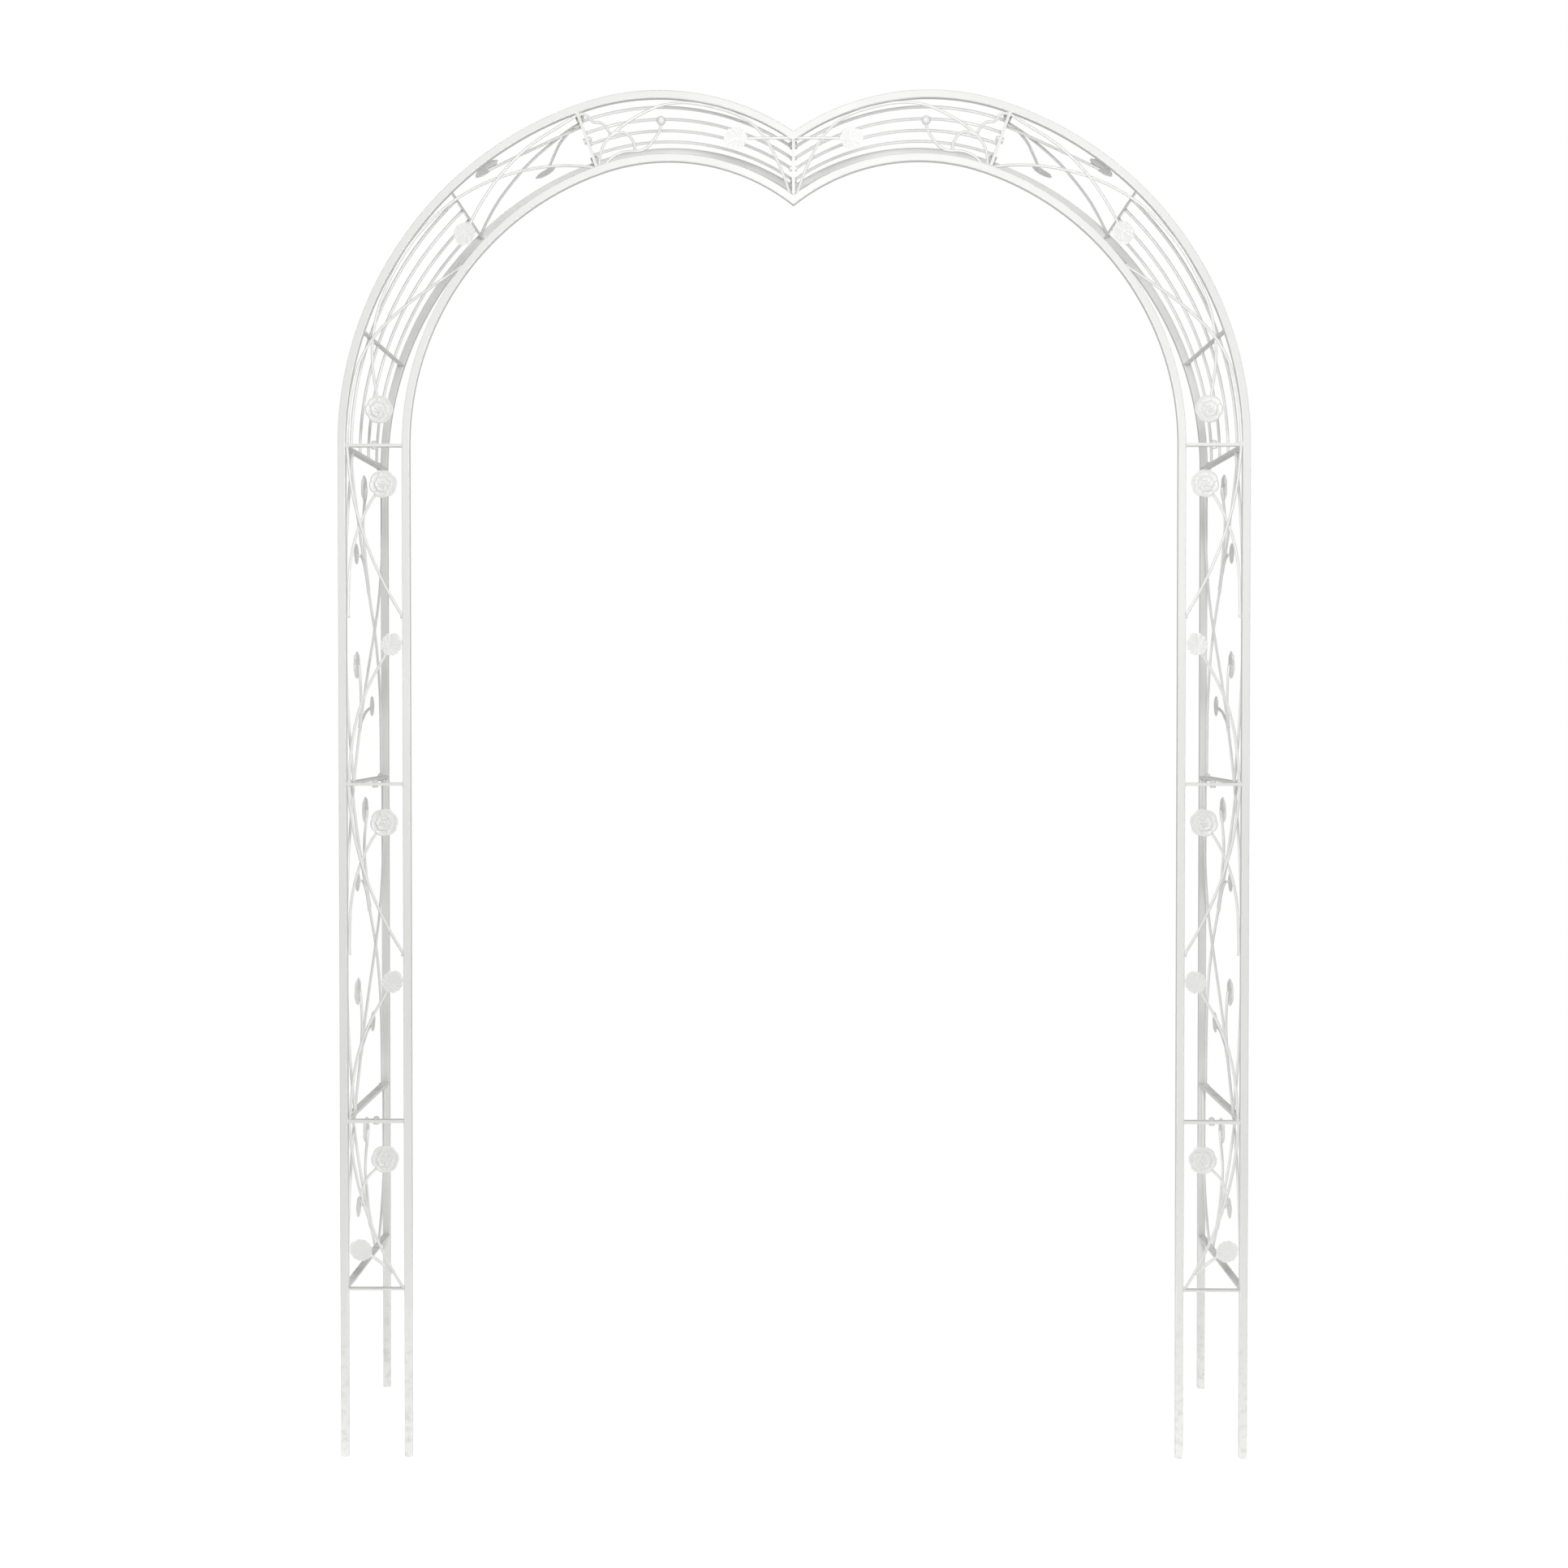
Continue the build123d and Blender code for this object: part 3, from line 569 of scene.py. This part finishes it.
def make_leaves(node, facing, scroll):
    rods = rods_of(scroll)
    builder = Builder()
    for points in islands(node):
        normal = facing(points)
        stem = rod_near(points, rods)
        leaf(builder, pose(back_origin(points, normal), normal, stem))
    builder.piece(node + "_pressed", ornament_coat, "ornament_coat", [node], 60)


make_leaves("front_leaves", to_front, "front_scroll")
make_leaves("side_leaves", outward, "side_scroll")


# ---- buds ----------------------------------------------------------------------------
def make_buds():
    """Ball buds with a small weld collar where the stem enters from below."""
    builder = Builder()
    for points in islands("buds"):
        radius = (points[:, 2].max() - points[:, 2].min()) / 2 / MM
        profile = [(0, -1.06 * radius), (0.20 * radius, -1.05 * radius), (0.34 * radius, -radius)]
        for step in range(2, 25):
            turn = math.pi * step / 25
            profile.append((radius * math.sin(turn), -radius * math.cos(turn)))
        profile.append((0, radius))
        builder.add(*lathe(profile, 40), Matrix.Translation(Vector(middle(points))))
    builder.piece("bud_balls", ornament_coat, "ornament_coat", ["buds"], 60)


make_buds()


# ---- fasteners -----------------------------------------------------------------------
CHAMFER_SHARE = 0.94       # flat end face of a bolt head or nut, over its width across flats
CHAMFER_SLOPE = math.tan(math.radians(30))
FLANGE_HEIGHT = 0.3        # mm, of the round face under a bolt's head
THREAD_PITCH = 0.8
NUT_BORE = 2.52            # radius in mm
SIDEWAYS = (0, 1, 0)       # no bolt lies along it


def hexagon_body(flats, low, high, chamfer_low, bore=0.0, steps=72):
    """Hexagon prism along Z in mm, chamfered at the high end and, if asked, the low end.

    It is solid, or has a bore of a given radius right through.
    """
    round_face = CHAMFER_SHARE * flats / 2
    rings = []

    def ring(shape):
        """Adds a ring; shape gives its radius and height from the hexagon's radius."""
        row = []
        for step in range(steps):
            angle = 2 * math.pi * step / steps
            sector = (angle + math.pi / 6) % (math.pi / 3) - math.pi / 6
            radius, z = shape(flats / 2 / math.cos(sector))
            row.append((radius * math.cos(angle) * MM, radius * math.sin(angle) * MM, z * MM))
        rings.append(row)

    if bore:
        ring(lambda side: (bore, low))
    if chamfer_low:
        ring(lambda side: (round_face, low))
        ring(lambda side: (side, low + (side - round_face) * CHAMFER_SLOPE))
    else:
        ring(lambda side: (side, low))
    ring(lambda side: (side, high - (side - round_face) * CHAMFER_SLOPE))
    ring(lambda side: (round_face, high))
    if bore:
        ring(lambda side: (bore, high))
    points = [point for row in rings for point in row]
    faces = grid_faces(len(rings), steps, closed=True)
    top = (len(rings) - 1) * steps
    if bore:
        faces += [(top + s, top + (s + 1) % steps, (s + 1) % steps, s) for s in range(steps)]
    else:
        faces.append(tuple(reversed(range(steps))))
        faces.append(tuple(top + s for s in range(steps)))
    return points, faces


def spread(points, axis):
    """Distance in mm along an axis through the middle and away from it, for every point."""
    from_middle = points - middle(points)
    along = from_middle @ axis
    away = np.linalg.norm(from_middle - np.outer(along, axis), axis=1)
    return along / MM, away / MM


def snapped(axis):
    """Removes the small error of a measured axis that is nearly along X, Y or Z."""
    axis = np.where(np.abs(axis) < 0.02, 0, axis)
    return axis / np.linalg.norm(axis)


def make_bolts():
    """Hexagon bolts with a round face under the head, and a thread of grooves."""
    bolts = Builder()
    for points in islands("bolts"):
        axis = snapped(axes_of(points)[2])
        along, away = spread(points, axis)
        if away[along > 0].max() < away[along < 0].max():
            axis, along = -axis, -along
        # local Z runs from the thread end to the head
        matrix = pose(middle(points), axis, SIDEWAYS)
        low, high = along.min(), along.max()
        head = along[away > away.max() * 0.9].min()
        flats = 2 * away.max() * math.cos(math.pi / 6)
        bolts.add(*hexagon_body(flats, head + FLANGE_HEIGHT, high, chamfer_low=False), matrix)
        top = head + FLANGE_HEIGHT + 0.02
        flange = ((0, head), (0.47 * flats, head), (0.47 * flats, top), (0, top))
        bolts.add(*lathe(flange, 36), matrix)
        shank = away[along < head - 1].max()
        thread = [(0, low), (shank - 0.7, low), (shank - 0.1, low + 0.6)]
        z = low + 0.9
        while z < head - 1.0:
            thread += [(shank - 0.05, z), (shank - 0.45, z + THREAD_PITCH / 2)]
            z += THREAD_PITCH
        thread += [(shank - 0.1, head), (0, head)]
        bolts.add(*lathe(thread), matrix)
    bolts.piece("hexagon_bolts", fastener_coat, "fastener_coat", ["bolts"], 30)


def make_nuts():
    nuts = Builder()
    for points in islands("nuts"):
        axis = snapped(axes_of(points)[0])
        along, away = spread(points, axis)
        flats = 2 * away.max() * math.cos(math.pi / 6)
        body = hexagon_body(flats, along.min(), along.max(), chamfer_low=True, bore=NUT_BORE)
        nuts.add(*body, pose(middle(points), axis, SIDEWAYS))
    nuts.piece("hexagon_nuts", fastener_coat, "fastener_coat", ["nuts"], 30)


make_bolts()
make_nuts()


# ---- weld beads ----------------------------------------------------------------------
END_REACH = 5.2            # mm from a rod's last point to all of its end face
BESIDE_GAP = 5             # mm from a rod's middle line to the face of a rod beside it


def lengths_from(start, links):
    """Length of the shortest way along edges from a start to each vertex in reach."""
    found = {}
    front = [(0.0, start)]
    while front:
        length, vertex = heapq.heappop(front)
        if vertex in found:
            continue
        found[vertex] = length
        for other, step in links[vertex]:
            if other not in found:
                heapq.heappush(front, (length + step, other))
    return found


def rod_ends(node):
    """Both ends of each rod in a node: middle, outward direction, and where it lies
    against a rod that runs the same way.

    Rods that share a vertex are one body, and only its two farthest ends are found.
    """
    points, edges, label = labelled(node)
    links = [[] for _ in points]
    steps = np.linalg.norm(points[edges[:, 0]] - points[edges[:, 1]], axis=1)
    for (a, b), step in zip(edges.tolist(), steps.tolist()):
        links[a].append((b, step))
        links[b].append((a, step))
    ends = []
    for value in np.unique(label):
        some = int(np.flatnonzero(label == value)[0])
        first = lengths_from(some, links)
        one = max(first, key=lambda v: (first[v], v))
        second = lengths_from(one, links)
        two = max(second, key=lambda v: (second[v], v))
        others = edges[label[edges[:, 0]] != value]
        for tip in (one, two):
            near = np.linalg.norm(points[list(second)] - points[tip], axis=1) < END_REACH * MM
            cap = {vertex for vertex, close in zip(second, near) if close}
            beyond = {link[0] for vertex in cap for link in links[vertex]} - cap
            if not beyond:
                continue
            centre = points[sorted(cap)].mean(axis=0)
            away = centre - points[sorted(beyond)].mean(axis=0)
            away /= np.linalg.norm(away)
            ends.append((centre, away, neighbour(centre, away, points, others)))
    return ends


def neighbour(centre, away, points, edges):
    """Nearest point of another rod that lies beside an end and runs the same way."""
    start = points[edges[:, 0]]
    way = points[edges[:, 1]] - start
    length = np.maximum(np.linalg.norm(way, axis=1), 1e-9)
    share = np.clip(((centre - start) * way).sum(axis=1) / length ** 2, 0, 1)
    nearest = start + share[:, None] * way
    gap = np.linalg.norm(nearest - centre, axis=1)
    beside = (length > 3 * MM) & (gap < BESIDE_GAP * MM)
    beside &= np.abs(way @ away) > 0.93 * length
    if not beside.any():
        return None
    return nearest[np.argmin(np.where(beside, gap, np.inf))]


# radius and place along the rod in mm; positive is past the rod's end
COLLAR_PROFILE = ((0, -2.6), (2.2, -2.6), (2.75, -1.7), (3.15, -0.6), (3.2, 0.3), (2.6, 1.0),
                  (0, 1.3))
SEAM_PROFILE = ((0, -15), (0.8, -14), (1.35, -11), (1.5, -7), (1.7, -4), (1.9, -1), (1.6, 1.5),
                (0.8, 3), (0, 3.6))
WELD_STEPS = 14
WELD_UNEVEN = 0.05         # share by which the points of a bead wander
BAR_BEAD = 1.1             # radius in mm of the beads across the bars
ORNAMENT_REACH = 22        # mm; an ornament hides rod ends that are nearer to its middle


def uneven(points):
    """Moves points of a weld bead in and out a little, as a hand-run bead is."""
    low, high = 1 - WELD_UNEVEN, 1 + WELD_UNEVEN
    return [tuple(value * random.uniform(low, high) for value in point) for point in points]


def make_rod_welds():
    """Welds at rod ends: a collar on a tube or bar, a seam beside another rod."""
    ornaments = ("front_roses", "side_roses", "front_leaves", "side_leaves", "buds")
    centres = np.array([middle(points) for node in ornaments for points in islands(node)])
    builder = Builder()
    for node in sorted(frame["nodes"]):
        if not (node.endswith("scroll") or node.endswith("roof_rods")):
            continue
        for centre, away, beside in rod_ends(node):
            if np.linalg.norm(centres - centre, axis=1).min() < ORNAMENT_REACH * MM:
                continue
            profile, place = COLLAR_PROFILE, centre
            if beside is not None:
                profile, place = SEAM_PROFILE, centre + 0.8 * (beside - centre)
            points, faces = lathe(profile, WELD_STEPS)
            side = (1, 0, 0) if abs(away[0]) < 0.8 else (0, 0, 1)
            builder.add(uneven(points), faces, pose(place, away, side))
    builder.piece("rod_welds", weld_coat, "rod_coat", smooth_angle=70)


def make_bar_welds():
    """Short beads where a crossbar, or a pair that touches, meets the tubes."""
    builder = Builder()
    for node in ("front_crossbars", "side_crossbars"):
        for points in islands(node):
            centre = middle(points)
            thin, wide, long = axes_of(points)
            half_thin, half_wide, half_long = [
                ((points - centre) @ axis).max() for axis in (thin, wide, long)]
            reach = half_wide / MM
            profile = [(0, -0.85 * reach)]
            for step in range(9):
                ripple = 1.0 if step % 2 else 0.82
                profile.append((BAR_BEAD * ripple, 0.8 * reach * (step / 4 - 1)))
            profile.append((0, 0.85 * reach))
            body, faces = lathe(profile, 10)
            for end in (-1, 1):
                for face in (-1, 1):
                    place = centre + end * half_long * long + face * half_thin * thin
                    builder.add(uneven(body), faces, pose(place, wide, long))
    builder.piece("bar_welds", weld_coat, "bar_coat", smooth_angle=70)


make_rod_welds()
make_bar_welds()


# ---- floor, light and camera -----------------------------------------------------------
FLOOR_SOLID = 0.85         # metres from the middle where the floor starts to fade out
FLOOR_RADIUS = 1.7
FLOOR_GLOW = 0.55          # keeps the floor as white as the surroundings


def make_floor():
    """Pale round floor that fades into the white surroundings."""
    steps = 96
    points = [(0, 0, 0)]
    for step in range(steps):
        turn = 2 * math.pi * step / steps
        points.append((FLOOR_RADIUS * math.cos(turn), FLOOR_RADIUS * math.sin(turn), 0))
    faces = [(0, 1 + s, 1 + (s + 1) % steps) for s in range(steps)]
    mesh = bpy.data.meshes.new("floor")
    mesh.from_pydata(points, [], faces)
    material = bpy.data.materials.new("floor_pale")
    material.use_nodes = True
    tree = material.node_tree
    shader = tree.nodes["Principled BSDF"]
    place = node_of(tree, "ShaderNodeTexCoord").outputs["Object"]
    tint = blend(tree, noise(tree, place, 4.0, 5.0), (0.90, 0.90, 0.895), (0.93, 0.93, 0.925))
    tree.links.new(tint, shader.inputs["Base Color"])
    shader.inputs["Roughness"].default_value = 0.9
    shader.inputs["Emission Color"].default_value = (1.0, 1.0, 1.0, 1.0)
    shader.inputs["Emission Strength"].default_value = FLOOR_GLOW
    far = node_of(tree, "ShaderNodeVectorMath", operation="LENGTH")
    tree.links.new(place, far.inputs[0])
    fade = remap(tree, far.outputs["Value"], FLOOR_SOLID, FLOOR_RADIUS, 0.0, 1.0)
    clear = node_of(tree, "ShaderNodeBsdfTransparent")
    mixed = node_of(tree, "ShaderNodeMixShader")
    tree.links.new(fade, mixed.inputs[0])
    tree.links.new(shader.outputs[0], mixed.inputs[1])
    tree.links.new(clear.outputs[0], mixed.inputs[2])
    tree.links.new(mixed.outputs[0], tree.nodes["Material Output"].inputs["Surface"])
    mesh.materials.append(material)
    floor = bpy.data.objects.new("floor", mesh)
    bpy.context.scene.collection.objects.link(floor)


def area_light(name, place, target, size, power):
    """Rectangular light in metres and watts that faces its target."""
    data = bpy.data.lights.new(name, "AREA")
    data.shape = "RECTANGLE"
    data.size, data.size_y = size
    data.energy = power
    light = bpy.data.objects.new(name, data)
    light.location = place
    way = Vector(target) - Vector(place)
    light.rotation_mode = "QUATERNION"
    light.rotation_quaternion = way.to_track_quat("-Z", "Y")
    bpy.context.scene.collection.objects.link(light)


SKY_STRENGTH = 0.24        # what lights the arch; the camera sees the sky at full white


def make_light():
    """White surroundings, a frontal key light and soft fills from all round."""
    world = bpy.data.worlds.new("studio")
    bpy.context.scene.world = world
    world.use_nodes = True
    tree = world.node_tree
    sky = tree.nodes["Background"]
    sky.inputs["Color"].default_value = (1.0, 1.0, 1.0, 1.0)
    sky.inputs["Strength"].default_value = SKY_STRENGTH
    seen = node_of(tree, "ShaderNodeBackground")
    seen.inputs["Color"].default_value = (1.0, 1.0, 1.0, 1.0)
    seen.inputs["Strength"].default_value = 1.0
    path = node_of(tree, "ShaderNodeLightPath")
    mixed = node_of(tree, "ShaderNodeMixShader")
    tree.links.new(path.outputs["Is Camera Ray"], mixed.inputs[0])
    tree.links.new(sky.outputs[0], mixed.inputs[1])
    tree.links.new(seen.outputs[0], mixed.inputs[2])
    tree.links.new(mixed.outputs[0], tree.nodes["World Output"].inputs["Surface"])
    area_light("key", (0.12, -2.9, 1.85), (0, 0, 1.5), (0.6, 0.6), 51)
    area_light("crown_light", (0.0, -2.6, cad_high.z + 0.5), (0, 0.1, 2.0), (0.6, 0.6), 9)
    area_light("overhead", (0, 0, cad_high.z + 2.0), (0, 0, 0), (3, 3), 10)
    for side in (-1, 1):
        # beside the passage, so that faces turned to it don't mirror the light to the front
        area_light("back_fill", (side * 2.5, 3.0, 1.6), (0, 0, 1.3), (1.2, 1.2), 20)
        area_light("side_fill", (side * 2.15, 0.5, 1.2), (0, 0, 1.2), (1.0, 2.0), 5)


CAMERA_AHEAD = 3.473       # metres in front of the arch's front face
CAMERA_HEIGHT = 1.245
CAMERA_YAW = 0.418         # degrees to the left
CAMERA_DIP = 0.992         # degrees below the horizon
CAMERA_SHIFT = (0.0038, -0.0264)  # shares of the picture's width
LENS = 48.45
SENSOR = 36.0


def make_camera():
    data = bpy.data.cameras.new("camera")
    data.sensor_width = SENSOR
    data.lens = LENS
    data.shift_x, data.shift_y = CAMERA_SHIFT
    data.clip_end = 200
    camera = bpy.data.objects.new("camera", data)
    camera.location = (0, cad_low.y - CAMERA_AHEAD, CAMERA_HEIGHT)
    camera.rotation_euler = (math.radians(90 - CAMERA_DIP), 0, math.radians(CAMERA_YAW))
    bpy.context.scene.collection.objects.link(camera)
    bpy.context.scene.camera = camera


make_floor()
make_light()
make_camera()
bpy.context.scene.view_settings.view_transform = "Standard"
